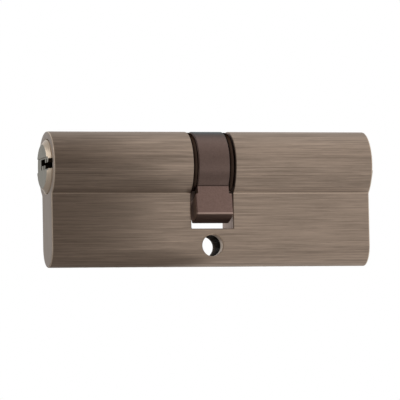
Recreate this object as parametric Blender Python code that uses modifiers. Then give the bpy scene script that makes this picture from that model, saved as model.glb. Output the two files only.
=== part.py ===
"""Euro profile double lock cylinder, 40 + 40 mm, worked by a flat dimple key from either end.

The origin is the centre of the fixing-screw hole. +X runs along the plugs, +Z points from the
screw to the plugs, and -Y is the side that the cam's lever leans to. Lengths are in metres.

Each end of the lock is built in a side frame: its +X points from the cam to that end's face and
its origin lies on the plug axis. The left side frame is the right one turned half round Z, so
both ends look the same to someone who holds the key.
"""

import math

import bmesh
import bpy

MM = 0.001

# Housing
HEAD_RADIUS = 8.5 * MM
FOOT_WIDTH = 10.0 * MM
FOOT_DEPTH = 24.5 * MM  # plug axis to the bottom of the foot
SCREW_DEPTH = 19.5 * MM  # plug axis to the fixing screw
LEFT_LENGTH = 40.0 * MM  # fixing screw to the left end face
RIGHT_LENGTH = 40.0 * MM
CAM_GAP = 10.5 * MM
EDGE_BEVEL = 0.25 * MM
SCREW_HOLE_RADIUS = 2.6 * MM
SCREW_CHAMFER = 0.25 * MM

# Plugs
PLUG_RADIUS = 6.5 * MM
RUNNING_GAP = 0.1 * MM  # between a turning or sliding piece and its bore, and end to end
BORE_CHAMFER = 0.3 * MM
NOSE_HEIGHT = 1.1 * MM  # how far the nose stands out of the housing
NOSE_RIM_HEIGHT = 0.4 * MM
NOSE_BEVEL = 1.2 * MM  # how far the nose narrows from its rim to its face
TAIL_STEP = 0.5 * MM  # down to the tail, which the cam turns on
CLIP_NECK_DEPTH = 0.7 * MM  # from the tail's surface
CLIP_THICKNESS = 0.8 * MM
CLIP_INSET = 0.2 * MM  # from the cam ring's surface
CLIP_TO_WALL = {"left": 0.1 * MM, "right": 0.5 * MM}  # the right plug floats a little inwards
CLIP_OPENING = math.radians(80)

# Keyway, in the plug's cross-section; +Y is the side where it opens
KEYWAY_CENTRE_Z = 0.4 * MM
KEYWAY_HEIGHT = 2.5 * MM
KEYWAY_CLOSED_Y = -1.9 * MM
LOWER_WARD_END_Y = 2.3 * MM
UPPER_WARD_END_Y = 5.5 * MM
WARD_REACH = 0.95 * MM
WARD_SLIT = 0.7 * MM
LOWER_SLITS_Y = (-1.9 * MM, 0.6 * MM)
UPPER_SLIT_Y = 3.4 * MM
LEAD_GROOVE_WIDTH = 3.3 * MM
LEAD_GROOVE_DEPTH = 0.3 * MM

# Pin stacks
PIN_LIFTS = (0.9 * MM, 0.4 * MM, 0.7 * MM, 0.3 * MM, 0.8 * MM, 0.5 * MM)  # from the face inwards
PIN_TO_STEM = 0.85 * MM  # between the innermost pin's bore and the clutch stem's
PIN_PITCH = 4.0 * MM
CHAMBER_RADIUS = 1.5 * MM
TIP_BORE_RADIUS = 0.95 * MM
CHAMBER_STEP_DEPTH = 2.2 * MM  # plug axis to the ledge that stops a key pin's shoulder
TIP_REACH = 1.35 * MM  # how high above the plug axis a fully raised tip stands
PIN_CHAMFER = 0.28 * MM
DRIVER_LENGTH = 4.8 * MM  # plus the stack's lift, so that every stack is as tall
DRIVER_WAIST_RADIUS = 1.05 * MM
CHAMBER_PLUG_LENGTH = 3.0 * MM
CHAMBER_PLUG_RECESS = 0.3 * MM
SPRING_WIRE_RADIUS = 0.17 * MM
SPRING_TURNS = 4
SPRING_END_RISE = 0.44 * MM  # of the closed turn at each end

# Cam
CAM_FLOAT = 0.15 * MM  # between each end of the ring and its clip, with the cam midway
CAM_RUNNING_GAP = 0.15 * MM  # between the ring and the plugs' tails
CAM_OFFSET = 0.05 * MM  # the cam floats between its clips, a little to the right
CAM_REST_ANGLE = math.radians(24)
LEVER_RADIUS = 14.55 * MM
LEVER_SIDE_GAP = 0.6 * MM  # between each side of the lever and the gap's wall
LEVER_ROOT_DEPTH = 1.5 * MM  # from the ring's surface
LEVER_ROOT_HALF = 4.1 * MM
LEVER_TIP_HALF = 2.6 * MM
LEVER_BEVEL = 0.35 * MM
LEVER_TO_BRIDGE = 0.85 * MM
LEVER_TO_CLIP = 1.7 * MM
WEB_THICKNESS = 3.0 * MM  # the wall in the cam's middle that the clutch pieces drive

# Clutch
CLUTCH_SLOT_WALL = 0.7 * MM  # of the plug's neck, above and below the slot
CLUTCH_WIDTH = 3.0 * MM
CLUTCH_LENGTH = 4.6 * MM
CLUTCH_GAP = 0.3 * MM  # between the two clutch pieces
CLUTCH_STEM_RADIUS = 1.4 * MM
CLUTCH_STEM_LENGTH = 3.6 * MM

# Facets of the round shapes
HEAD_STEPS = 48
FOOT_STEPS = 16
PLUG_STEPS = 48
HOLE_STEPS = 24
PIN_STEPS = 12
CHAMBER_STEPS = 16
CLIP_STEPS = 28
SPRING_STEPS = 8

# Sizes that follow from the ones above
OVERCUT = 1.0 * MM  # how far a cutter runs past the surface that it opens
BORE_RADIUS = PLUG_RADIUS + RUNNING_GAP
NOSE_FACE_RADIUS = PLUG_RADIUS - NOSE_BEVEL
TAIL_RADIUS = PLUG_RADIUS - TAIL_STEP
CLIP_NECK_RADIUS = TAIL_RADIUS - CLIP_NECK_DEPTH
CLIP_INNER_X = {side: CAM_GAP / 2 - gap - CLIP_THICKNESS for side, gap in CLIP_TO_WALL.items()}
TAIL_END_X = WEB_THICKNESS / 2 + CLUTCH_GAP
CAM_RING_RADIUS = HEAD_RADIUS
CAM_RING_WIDTH = CLIP_INNER_X["left"] + CLIP_INNER_X["right"] - 2 * CAM_FLOAT
CAM_CENTRE_X = (CLIP_INNER_X["right"] - CLIP_INNER_X["left"]) / 2 + CAM_OFFSET
CLIP_RADIUS = CAM_RING_RADIUS - CLIP_INSET
LEVER_WIDTH = CAM_GAP - 2 * LEVER_SIDE_GAP
LEVER_ROOT = CAM_RING_RADIUS - LEVER_ROOT_DEPTH
BRIDGE_DEPTH = LEVER_RADIUS + LEVER_TO_BRIDGE
PIN_RADIUS = CHAMBER_RADIUS - RUNNING_GAP
TIP_RADIUS = TIP_BORE_RADIUS - RUNNING_GAP
TIP_LENGTH = TIP_REACH + CHAMBER_STEP_DEPTH + RUNNING_GAP
KEY_PIN_FOOT = PLUG_RADIUS - RUNNING_GAP
DRIVER_TOP = BORE_RADIUS + RUNNING_GAP / 2
CHAMBER_PLUG_TOP = FOOT_DEPTH - CHAMBER_PLUG_RECESS - CHAMBER_PLUG_LENGTH
CLUTCH_HEIGHT = 2 * (CLIP_NECK_RADIUS - CLUTCH_SLOT_WALL - RUNNING_GAP)
CLUTCH_REST_SPLIT = WEB_THICKNESS / 2  # world X between the two clutch pieces at rest
CLUTCH_TRAVEL = WEB_THICKNESS + 2 * RUNNING_GAP
CLUTCH_REST_REACH = CLUTCH_LENGTH + CLUTCH_GAP / 2 - CLUTCH_REST_SPLIT
CLUTCH_SLOT_END = CLUTCH_REST_REACH + CLUTCH_TRAVEL + RUNNING_GAP
CLUTCH_BORE_END = CLUTCH_SLOT_END + CLUTCH_STEM_LENGTH
INNERMOST_PIN_X = CLUTCH_BORE_END + PIN_TO_STEM + CHAMBER_RADIUS

ALONG_X = (0, math.pi / 2, 0)  # turns a shape's own Z to X
ALONG_Y = (-math.pi / 2, 0, 0)  # turns a shape's own Z to Y
SECTION = (math.pi / 2, 0, math.pi / 2)  # stands an XY outline in the YZ plane, its Z along X


def clear_scene():
    for obj in list(bpy.data.objects):
        bpy.data.objects.remove(obj, do_unlink=True)


def new_collection(name):
    collection = bpy.data.collections.new(name)
    bpy.context.scene.collection.children.link(collection)
    return collection


def new_material(name, colour, roughness, metallic=1.0):
    material = bpy.data.materials.new(name)
    material.use_nodes = True
    shader = material.node_tree.nodes["Principled BSDF"]
    shader.inputs["Base Color"].default_value = (*colour, 1.0)
    shader.inputs["Roughness"].default_value = roughness
    shader.inputs["Metallic"].default_value = metallic
    material.diffuse_color = (*colour, 1.0)
    return material


def place(obj, parent, location=(0, 0, 0), rotation=(0, 0, 0)):
    obj.parent = parent
    obj.location = location
    obj.rotation_euler = rotation
    return obj


def add_part(name, data, material, parent, **where):
    """Links a finished piece, which becomes one node of the model."""
    obj = bpy.data.objects.new(name, data)
    PARTS.objects.link(obj)
    data.materials.append(material)
    return place(obj, parent, **where)


def add_cutter(name, data, parent, **where):
    """Links a helper shape that only opens holes in other pieces."""
    obj = bpy.data.objects.new(name, data)
    CUTTERS.objects.link(obj)
    obj.hide_render = True
    obj.display_type = "WIRE"
    return place(obj, parent, **where)


def combine(target, other, operation="DIFFERENCE"):
    modifier = target.modifiers.new(other.name, "BOOLEAN")
    modifier.operation = operation
    modifier.object = other
    modifier.solver = "EXACT"


def box_mesh(name, low, high):
    """A box between two corners."""
    bm = bmesh.new()
    bmesh.ops.create_cube(bm, size=1.0)
    for vertex in bm.verts:
        vertex.co = [a + (b - a) * (c + 0.5) for a, b, c in zip(low, high, vertex.co)]
    mesh = bpy.data.meshes.new(name)
    bm.to_mesh(mesh)
    bm.free()
    return mesh


def profile_mesh(name, profile):
    """An open line of (radius, height) points, from the top down, for a Screw modifier to turn."""
    mesh = bpy.data.meshes.new(name)
    points = [(radius, 0, height) for radius, height in profile]
    mesh.from_pydata(points, [(i, i + 1) for i in range(len(points) - 1)], [])
    return mesh


def turn(obj, steps):
    """Turns an object's profile about its own Z."""
    modifier = obj.modifiers.new("turn", "SCREW")
    modifier.steps = steps
    modifier.render_steps = steps
    modifier.use_merge_vertices = True
    modifier.merge_threshold = 0.001 * MM
    modifier.use_smooth_shade = True


def flat_mesh(name, outline, thickness):
    """A closed XY outline, filled and made thickness deep about Z = 0."""
    curve = bpy.data.curves.new(name, "CURVE")
    curve.dimensions = "2D"
    curve.fill_mode = "BOTH"
    curve.extrude = thickness / 2
    spline = curve.splines.new("POLY")
    spline.points.add(len(outline) - 1)
    for point, (x, y) in zip(spline.points, outline):
        point.co = (x, y, 0, 1)
    spline.use_cyclic_u = True
    guide = bpy.data.objects.new(name, curve)
    bpy.context.scene.collection.objects.link(guide)
    bpy.context.view_layer.update()
    graph = bpy.context.evaluated_depsgraph_get()
    mesh = bpy.data.meshes.new_from_object(guide.evaluated_get(graph))
    bpy.data.objects.remove(guide, do_unlink=True)
    bm = bmesh.new()
    bm.from_mesh(mesh)
    bmesh.ops.remove_doubles(bm, verts=bm.verts, dist=0.001 * MM)
    bmesh.ops.recalc_face_normals(bm, faces=bm.faces)
    bmesh.ops.dissolve_limit(
        bm, angle_limit=math.radians(1), verts=bm.verts, edges=bm.edges, delimit=set()
    )
    bm.to_mesh(mesh)
    bm.free()
    return mesh


def arc(radius, start, end, steps, centre=(0, 0)):
    """Points along an arc, both ends included."""
    angles = [start + (end - start) * i / steps for i in range(steps + 1)]
    return [(centre[0] + radius * math.cos(a), centre[1] + radius * math.sin(a)) for a in angles]


def bevel(obj, width, segments, limit):
    modifier = obj.modifiers.new("bevel", "BEVEL")
    modifier.width = width
    modifier.segments = segments
    modifier.limit_method = "ANGLE"
    modifier.angle_limit = limit


def pin_positions():
    """Side-frame X of each pin stack, from the end face inwards."""
    return [INNERMOST_PIN_X + i * PIN_PITCH for i in reversed(range(len(PIN_LIFTS)))]


def housing_outline():
    """The profile in (Y, Z): a round head on a foot with a half-round bottom."""
    foot_half = FOOT_WIDTH / 2
    start = -math.acos(foot_half / HEAD_RADIUS)
    head = arc(HEAD_RADIUS, start, math.pi - start, HEAD_STEPS)
    foot = arc(foot_half, math.pi, 2 * math.pi, FOOT_STEPS, (0, foot_half - FOOT_DEPTH))
    return head + foot


def make_housing(material, axis):
    length = LEFT_LENGTH + RIGHT_LENGTH
    mesh = flat_mesh("housing", housing_outline(), length)
    housing = add_part(
        "housing",
        mesh,
        material,
        axis,
        location=((RIGHT_LENGTH - LEFT_LENGTH) / 2, 0, 0),
        rotation=SECTION,
    )
    bevel(housing, EDGE_BEVEL, 2, math.radians(80))

    gap = box_mesh(
        "cam_gap",
        (-CAM_GAP / 2, -HEAD_RADIUS - OVERCUT, -BRIDGE_DEPTH),
        (CAM_GAP / 2, HEAD_RADIUS + OVERCUT, HEAD_RADIUS + OVERCUT),
    )
    combine(housing, add_cutter("cam_gap", gap, axis))

    foot_half = FOOT_WIDTH / 2
    mouth = SCREW_HOLE_RADIUS + SCREW_CHAMFER
    profile = [
        (0, foot_half + OVERCUT),
        (mouth, foot_half + OVERCUT),
        (mouth, foot_half),
        (SCREW_HOLE_RADIUS, foot_half - SCREW_CHAMFER),
    ]
    profile += [(radius, -height) for radius, height in reversed(profile)]
    hole = add_cutter(
        "screw_hole",
        profile_mesh("screw_hole", profile),
        axis,
        location=(0, 0, -SCREW_DEPTH),
        rotation=ALONG_Y,
    )
    turn(hole, HOLE_STEPS)
    combine(housing, hole)
    return housing


def cut_side_from_housing(housing, side, frame, length):
    """Opens one end's plug bore and pin chambers."""
    mouth = BORE_RADIUS + BORE_CHAMFER
    profile = [
        (0, length + OVERCUT),
        (mouth, length + OVERCUT),
        (mouth, length),
        (BORE_RADIUS, length - BORE_CHAMFER),
        (BORE_RADIUS, CAM_GAP / 2 - OVERCUT),
        (0, CAM_GAP / 2 - OVERCUT),
    ]
    bore = add_cutter(f"bore_{side}", profile_mesh("bore", profile), frame, rotation=ALONG_X)
    turn(bore, PLUG_STEPS)
    combine(housing, bore)
    profile = [
        (0, OVERCUT - PLUG_RADIUS),
        (CHAMBER_RADIUS, OVERCUT - PLUG_RADIUS),
        (CHAMBER_RADIUS, -FOOT_DEPTH - OVERCUT),
        (0, -FOOT_DEPTH - OVERCUT),
    ]
    for number, x in enumerate(pin_positions(), 1):
        name = f"chamber_{side}_{number}"
        chamber = add_cutter(name, profile_mesh(name, profile), frame, location=(x, 0, 0))
        turn(chamber, CHAMBER_STEPS)
        combine(housing, chamber)


def keyway_outline():
    """The keyway in (Y, Z): a flat slot, open at the plug's side, with slit wards above and below."""
    top = KEYWAY_CENTRE_Z + KEYWAY_HEIGHT / 2
    bottom = KEYWAY_CENTRE_Z - KEYWAY_HEIGHT / 2
    open_y = PLUG_RADIUS + OVERCUT
    lower = bottom + WARD_REACH
    upper = top - WARD_REACH
    first_slit, second_slit = LOWER_SLITS_Y
    return [
        (first_slit, bottom),
        (first_slit + WARD_SLIT, bottom),
        (first_slit + WARD_SLIT, lower),
        (second_slit, lower),
        (second_slit, bottom),
        (second_slit + WARD_SLIT, bottom),
        (second_slit + WARD_SLIT, lower),
        (LOWER_WARD_END_Y, lower),
        (LOWER_WARD_END_Y, bottom),
        (open_y, bottom),
        (open_y, top),
        (UPPER_WARD_END_Y, top),
        (UPPER_WARD_END_Y, upper),
        (UPPER_SLIT_Y + WARD_SLIT, upper),
        (UPPER_SLIT_Y + WARD_SLIT, top),
        (UPPER_SLIT_Y, top),
        (UPPER_SLIT_Y, upper),
        (LOWER_WARD_END_Y, upper),
        (LOWER_WARD_END_Y, top),
        (KEYWAY_CLOSED_Y, top),
    ]


def make_plug(side, frame, length, material):
    profile = [
        (0, length + NOSE_HEIGHT),
        (NOSE_FACE_RADIUS, length + NOSE_HEIGHT),
        (PLUG_RADIUS, length + NOSE_RIM_HEIGHT),
        (PLUG_RADIUS, CAM_GAP / 2),
        (CLIP_NECK_RADIUS, CAM_GAP / 2),
        (CLIP_NECK_RADIUS, CLIP_INNER_X[side] - RUNNING_GAP),
        (TAIL_RADIUS, CLIP_INNER_X[side] - RUNNING_GAP),
        (TAIL_RADIUS, TAIL_END_X),
        (0, TAIL_END_X),
    ]
    name = f"plug_{side}"
    plug = add_part(name, profile_mesh(name, profile), material, frame, rotation=ALONG_X)
    turn(plug, PLUG_STEPS)

    face = length + NOSE_HEIGHT
    keyway_length = face + OVERCUT - CLUTCH_SLOT_END + RUNNING_GAP
    keyway = add_cutter(
        f"keyway_{side}",
        flat_mesh("keyway", keyway_outline(), keyway_length),
        frame,
        location=(face + OVERCUT - keyway_length / 2, 0, 0),
        rotation=SECTION,
    )
    groove = box_mesh(
        "lead_groove",
        (face - LEAD_GROOVE_DEPTH, -HEAD_RADIUS, KEYWAY_CENTRE_Z - LEAD_GROOVE_WIDTH / 2),
        (face + OVERCUT, HEAD_RADIUS, KEYWAY_CENTRE_Z + LEAD_GROOVE_WIDTH / 2),
    )
    slot_half_width = CLUTCH_WIDTH / 2 + RUNNING_GAP
    slot_half_height = CLUTCH_HEIGHT / 2 + RUNNING_GAP
    slot = box_mesh(
        "clutch_slot",
        (TAIL_END_X - OVERCUT, -slot_half_width, -slot_half_height),
        (CLUTCH_SLOT_END, slot_half_width, slot_half_height),
    )
    stem_radius = CLUTCH_STEM_RADIUS + RUNNING_GAP
    stem_profile = [
        (0, CLUTCH_BORE_END),
        (stem_radius, CLUTCH_BORE_END),
        (stem_radius, CLUTCH_SLOT_END - OVERCUT),
        (0, CLUTCH_SLOT_END - OVERCUT),
    ]
    stem_bore = add_cutter(
        f"stem_bore_{side}", profile_mesh("stem_bore", stem_profile), frame, rotation=ALONG_X
    )
    turn(stem_bore, CHAMBER_STEPS)
    combine(plug, keyway)
    combine(plug, add_cutter(f"lead_groove_{side}", groove, frame))
    combine(plug, add_cutter(f"clutch_slot_{side}", slot, frame))
    combine(plug, stem_bore)

    profile = [
        (0, KEYWAY_CENTRE_Z),
        (TIP_BORE_RADIUS, KEYWAY_CENTRE_Z),
        (TIP_BORE_RADIUS, -CHAMBER_STEP_DEPTH),
        (CHAMBER_RADIUS, -CHAMBER_STEP_DEPTH),
        (CHAMBER_RADIUS, -PLUG_RADIUS - OVERCUT),
        (0, -PLUG_RADIUS - OVERCUT),
    ]
    for number, x in enumerate(pin_positions(), 1):
        name = f"pin_bore_{side}_{number}"
        pin_bore = add_cutter(name, profile_mesh(name, profile), frame, location=(x, 0, 0))
        turn(pin_bore, CHAMBER_STEPS)
        combine(plug, pin_bore)


def make_retaining_clip(side, frame, material):
    """A C-shaped clip round the plug's neck, open at the bottom."""
    start = (CLIP_OPENING - math.pi) / 2
    end = math.pi - start
    inner = arc(CLIP_NECK_RADIUS + RUNNING_GAP, start, end, CLIP_STEPS)
    outer = arc(CLIP_RADIUS, end, start, CLIP_STEPS)
    name = f"retaining_clip_{side}"
    mesh = flat_mesh(name, inner + outer, CLIP_THICKNESS)
    x = CLIP_INNER_X[side] + CLIP_THICKNESS / 2
    add_part(name, mesh, material, frame, location=(x, 0, 0), rotation=SECTION)


def make_clutch(side, frame, inner_x, material):
    """A block that slides in the plug's end slot and the cam, with a stem for the key's tip."""
    half_width = CLUTCH_WIDTH / 2
    half_height = CLUTCH_HEIGHT / 2
    mesh = box_mesh(
        f"clutch_{side}",
        (0, -half_width, -half_height),
        (CLUTCH_LENGTH, half_width, half_height),
    )
    clutch = add_part(f"clutch_{side}", mesh, material, frame, location=(inner_x, 0, 0))
    stem_end = CLUTCH_LENGTH + CLUTCH_STEM_LENGTH
    profile = [
        (0, stem_end),
        (CLUTCH_STEM_RADIUS - PIN_CHAMFER, stem_end),
        (CLUTCH_STEM_RADIUS, stem_end - PIN_CHAMFER),
        (CLUTCH_STEM_RADIUS, CLUTCH_LENGTH / 2),
        (0, CLUTCH_LENGTH / 2),
    ]
    stem = add_cutter(
        f"clutch_stem_{side}",
        profile_mesh("clutch_stem", profile),
        frame,
        location=(inner_x, 0, 0),
        rotation=ALONG_X,
    )
    turn(stem, PIN_STEPS)
    combine(clutch, stem, "UNION")


def spring_curve(name, height):
    """A coil from Z = 0 to height, with its end turns closed up."""
    curve = bpy.data.curves.new(name, "CURVE")
    curve.dimensions = "3D"
    curve.bevel_depth = SPRING_WIRE_RADIUS
    curve.bevel_resolution = 1
    curve.use_fill_caps = True
    count = SPRING_TURNS * SPRING_STEPS
    radius = PIN_RADIUS - SPRING_WIRE_RADIUS
    dead = 1 / SPRING_TURNS  # share of the coil that each closed end takes
    open_rise = height - 2 * SPRING_WIRE_RADIUS - 2 * SPRING_END_RISE
    spline = curve.splines.new("POLY")
    spline.points.add(count)
    for i, point in enumerate(spline.points):
        share = i / count
        lower = min(share / dead, 1)
        upper = min((1 - share) / dead, 1)
        middle = min(max((share - dead) / (1 - 2 * dead), 0), 1)
        z = SPRING_WIRE_RADIUS + SPRING_END_RISE * (lower + 1 - upper) + open_rise * middle
        angle = 2 * math.pi * i / SPRING_STEPS
        point.co = (radius * math.cos(angle), radius * math.sin(angle), z, 1)
    return curve


def make_pin_stack(side, number, frame, x, lift, materials):
    """Key pin, driver pin, spring and chamber plug, with the pins parted at the plug's surface."""
    suffix = f"{side}_{number}"
    shoulder = -CHAMBER_STEP_DEPTH - RUNNING_GAP - lift
    tip = shoulder + TIP_LENGTH
    profile = [
        (0, tip),
        (TIP_RADIUS / 2, tip),
        (TIP_RADIUS, tip - TIP_RADIUS / 2),
        (TIP_RADIUS, shoulder),
        (PIN_RADIUS, shoulder),
        (PIN_RADIUS, PIN_CHAMFER - KEY_PIN_FOOT),
        (PIN_RADIUS - 2 * PIN_CHAMFER, -KEY_PIN_FOOT),
        (0, -KEY_PIN_FOOT),
    ]
    name = f"key_pin_{suffix}"
    data = profile_mesh(name, profile)
    turn(add_part(name, data, materials["brass"], frame, location=(x, 0, 0)), PIN_STEPS)

    length = DRIVER_LENGTH + lift
    profile = [
        (0, 0),
        (PIN_RADIUS - PIN_CHAMFER, 0),
        (PIN_RADIUS, -PIN_CHAMFER),
        (PIN_RADIUS, -length / 4),
        (DRIVER_WAIST_RADIUS, -length / 4 - PIN_CHAMFER),
        (DRIVER_WAIST_RADIUS, PIN_CHAMFER - length / 2),
        (PIN_RADIUS, -length / 2),
        (PIN_RADIUS, PIN_CHAMFER - length),
        (PIN_RADIUS - PIN_CHAMFER, -length),
        (0, -length),
    ]
    name = f"driver_pin_{suffix}"
    data = profile_mesh(name, profile)
    driver = add_part(name, data, materials["steel"], frame, location=(x, 0, -DRIVER_TOP))
    turn(driver, PIN_STEPS)

    height = CHAMBER_PLUG_TOP - DRIVER_TOP - length - 2 * RUNNING_GAP
    name = f"spring_{suffix}"
    place_z = RUNNING_GAP - CHAMBER_PLUG_TOP
    data = spring_curve(name, height)
    add_part(name, data, materials["spring"], frame, location=(x, 0, place_z))

    profile = [
        (0, 0),
        (PIN_RADIUS - PIN_CHAMFER, 0),
        (PIN_RADIUS, -PIN_CHAMFER),
        (PIN_RADIUS, -CHAMBER_PLUG_LENGTH),
        (0, -CHAMBER_PLUG_LENGTH),
    ]
    name = f"chamber_plug_{suffix}"
    data = profile_mesh(name, profile)
    stopper = add_part(name, data, materials["brass"], frame, location=(x, 0, -CHAMBER_PLUG_TOP))
    turn(stopper, PIN_STEPS)


def lever_outline():
    """The lever in its own plane: +X along it from the axis, its tip round the axis."""
    tip_angle = math.asin(LEVER_TIP_HALF / LEVER_RADIUS)
    tip = arc(LEVER_RADIUS, -tip_angle, tip_angle, 8)
    return [*tip, (LEVER_ROOT, LEVER_ROOT_HALF), (LEVER_ROOT, -LEVER_ROOT_HALF)]


def cut_rooms(name, target, hub, inner_x, radius):
    """Opens a round room at each end of the cam, from inner_x outwards."""
    outer_x = CAM_GAP
    for end, low, high in (("right", inner_x, outer_x), ("left", -outer_x, -inner_x)):
        profile = [(0, high), (radius, high), (radius, low), (0, low)]
        data = profile_mesh(f"{name}_room", profile)
        room = add_cutter(f"{name}_room_{end}", data, hub, rotation=ALONG_X)
        turn(room, PLUG_STEPS)
        combine(target, room)


def make_cam(axis, material):
    """A ring that turns on both plugs' tails, with one lever and a slotted web in its middle."""
    hub = bpy.data.objects.new("cam_axis", None)
    PARTS.objects.link(hub)
    place(hub, axis, location=(CAM_CENTRE_X, 0, 0))

    half_ring = CAM_RING_WIDTH / 2
    profile = [
        (0, half_ring),
        (CAM_RING_RADIUS - EDGE_BEVEL, half_ring),
        (CAM_RING_RADIUS, half_ring - EDGE_BEVEL),
    ]
    profile += [(radius, -height) for radius, height in reversed(profile)]
    cam = add_part("cam", profile_mesh("cam", profile), material, hub, rotation=ALONG_X)
    turn(cam, PLUG_STEPS)

    lever = add_cutter(
        "lever",
        flat_mesh("lever", lever_outline(), LEVER_WIDTH),
        hub,
        rotation=(math.pi / 2, math.pi / 2 + CAM_REST_ANGLE, math.pi / 2),
    )
    bevel(lever, LEVER_BEVEL, 2, math.radians(60))
    cut_rooms("clip", lever, hub, half_ring - EDGE_BEVEL / 2, CLIP_RADIUS + LEVER_TO_CLIP)
    combine(cam, lever, "UNION")

    half_web = WEB_THICKNESS / 2
    cut_rooms("tail", cam, hub, half_web, TAIL_RADIUS + CAM_RUNNING_GAP)
    half_width = CLUTCH_WIDTH / 2 + RUNNING_GAP
    half_height = CLUTCH_HEIGHT / 2 + RUNNING_GAP
    slot = box_mesh(
        "web_slot",
        (-half_web - OVERCUT, -half_width, -half_height),
        (half_web + OVERCUT, half_width, half_height),
    )
    combine(cam, add_cutter("web_slot", slot, hub))


def make_side(side, frame, length, clutch_x, materials):
    make_plug(side, frame, length, materials["nickel"])
    make_retaining_clip(side, frame, materials["clip"])
    make_clutch(side, frame, clutch_x, materials["steel"])
    for number, (x, lift) in enumerate(zip(pin_positions(), PIN_LIFTS), 1):
        make_pin_stack(side, number, frame, x, lift, materials)


def new_frame(name, parent, location=(0, 0, 0), rotation=(0, 0, 0)):
    frame = bpy.data.objects.new(name, None)
    PARTS.objects.link(frame)
    return place(frame, parent, location=location, rotation=rotation)


def main():
    materials = {
        "body": new_material("brushed_nickel_bronze", (0.22, 0.18, 0.15), 0.38),
        "nickel": new_material("satin_nickel", (0.45, 0.42, 0.38), 0.3),
        "cam": new_material("browned_steel", (0.12, 0.09, 0.08), 0.35),
        "clip": new_material("spring_steel_clip", (0.09, 0.08, 0.07), 0.4),
        "steel": new_material("bright_steel", (0.55, 0.55, 0.56), 0.25),
        "brass": new_material("pin_brass", (0.78, 0.57, 0.28), 0.25),
        "spring": new_material("spring_wire", (0.6, 0.6, 0.6), 0.25),
    }
    axis = new_frame("plug_axis", None, location=(0, 0, SCREW_DEPTH))
    right = new_frame("right_side", axis)
    left = new_frame("left_side", axis, rotation=(0, 0, math.pi))

    housing = make_housing(materials["body"], axis)
    cut_side_from_housing(housing, "left", left, LEFT_LENGTH)
    cut_side_from_housing(housing, "right", right, RIGHT_LENGTH)
    make_cam(axis, materials["cam"])
    half_gap = CLUTCH_GAP / 2
    make_side("left", left, LEFT_LENGTH, half_gap - CLUTCH_REST_SPLIT, materials)
    make_side("right", right, RIGHT_LENGTH, half_gap + CLUTCH_REST_SPLIT, materials)


clear_scene()
PARTS = new_collection("euro_profile_double_cylinder")
CUTTERS = new_collection("cutters")
main()
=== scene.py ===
"""Looks for the Euro profile double lock cylinder: fine meshes, brushed metals, studio and camera.

Everything is in metres in the row frame: the origin is the centre of the fixing-screw hole, +X runs
along the plugs and -Y is the side that the cam's lever leans to. The pieces of each end are built
in a side frame, whose +X points from the cam to that end's face, with its origin on the plug axis.
"""

import math

import bmesh
import bpy
from mathutils import Matrix, Vector


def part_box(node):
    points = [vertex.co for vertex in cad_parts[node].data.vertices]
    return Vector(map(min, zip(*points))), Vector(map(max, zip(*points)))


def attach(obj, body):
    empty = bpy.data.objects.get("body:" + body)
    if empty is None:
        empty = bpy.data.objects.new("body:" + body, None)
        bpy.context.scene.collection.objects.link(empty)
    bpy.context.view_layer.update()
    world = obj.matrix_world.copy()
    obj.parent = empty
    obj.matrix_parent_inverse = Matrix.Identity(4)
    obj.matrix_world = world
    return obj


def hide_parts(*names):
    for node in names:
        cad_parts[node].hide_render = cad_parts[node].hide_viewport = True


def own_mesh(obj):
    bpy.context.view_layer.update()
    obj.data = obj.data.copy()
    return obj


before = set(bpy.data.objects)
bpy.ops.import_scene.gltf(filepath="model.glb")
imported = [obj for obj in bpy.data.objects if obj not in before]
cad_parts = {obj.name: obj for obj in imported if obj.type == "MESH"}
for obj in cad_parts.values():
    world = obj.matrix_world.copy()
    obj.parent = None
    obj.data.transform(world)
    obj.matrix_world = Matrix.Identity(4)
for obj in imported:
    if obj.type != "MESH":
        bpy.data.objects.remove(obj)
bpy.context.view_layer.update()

MM = 0.001
SIDES = ("left", "right")
STACKS = range(1, 7)

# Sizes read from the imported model
HOUSING_LOW, HOUSING_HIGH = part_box("housing")
HEAD_RADIUS = HOUSING_HIGH.y
AXIS_Z = HOUSING_HIGH.z - HEAD_RADIUS
FOOT_DEPTH = AXIS_Z - HOUSING_LOW.z
LENGTH = {"left": -HOUSING_LOW.x, "right": HOUSING_HIGH.x}
PLUG_LOW, PLUG_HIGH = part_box("plug_right")
PLUG_RADIUS = PLUG_HIGH.y
NOSE_HEIGHT = PLUG_HIGH.x - LENGTH["right"]
TAIL_END_X = PLUG_LOW.x
CLIP_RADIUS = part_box("retaining_clip_right")[1].y
CAM_LOW, CAM_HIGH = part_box("cam")
LEVER_WIDTH = CAM_HIGH.x - CAM_LOW.x
CAM_CENTRE_X = (CAM_LOW.x + CAM_HIGH.x) / 2

# Housing
FOOT_HALF = 5.0 * MM
CAM_GAP = 10.5 * MM
BRIDGE_DEPTH = 15.4 * MM  # plug axis to the floor of the cam's gap
EDGE_ROUND = 0.25 * MM
SCREW_HOLE_RADIUS = 2.6 * MM
SCREW_CHAMFER = 0.25 * MM
THREAD_PITCH = 0.8 * MM
THREAD_DEPTH = 0.2 * MM
THREAD_ROWS = 8  # of vertices in one turn's height
THREAD_STEEPNESS = 1.15
THREAD_START = 2.4 * MM  # below the hole's mouth on the lever's side
THREAD_END = 0.3 * MM  # below its other mouth
CREASE_WIDTH = 0.2 * MM  # of the facet between head and foot, coloured lighter as a painted highlight
BORE_RADIUS = PLUG_RADIUS + 0.1 * MM
BORE_CHAMFER = 0.15 * MM
CHAMBER_RADIUS = 1.5 * MM
TIP_BORE_RADIUS = 0.95 * MM
CHAMBER_STEP_DEPTH = 2.2 * MM

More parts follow.
